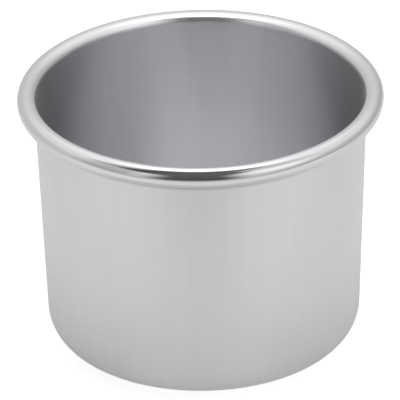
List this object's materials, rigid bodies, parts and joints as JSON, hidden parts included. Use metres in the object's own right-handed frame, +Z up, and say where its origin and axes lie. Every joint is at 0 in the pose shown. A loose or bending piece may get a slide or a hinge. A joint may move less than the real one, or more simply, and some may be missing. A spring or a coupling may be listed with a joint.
{
  "type": "round cake tin",
  "caption": "Round aluminium cake tin: deep, slightly tapered wall, rounded bottom corner and an outward rolled rim closed around a wire, for baking a small deep cake.",
  "frame": {"origin": "centre of the underside of the base, where the tin stands", "axes": "+Z up the tin's axis, towards the mouth; the joint of the rim wire lies towards +Y"},
  "size_m": [0.1122, 0.1122, 0.0832],
  "materials": {
    "anodised_aluminium": "satin silver anodised, brighter where the rim is rolled",
    "wire_steel": "zinc plated"
  },
  "bodies": {
    "root": {"tin_body": "anodised_aluminium", "rim_wire": "wire_steel"}
  },
  "joints": []
}
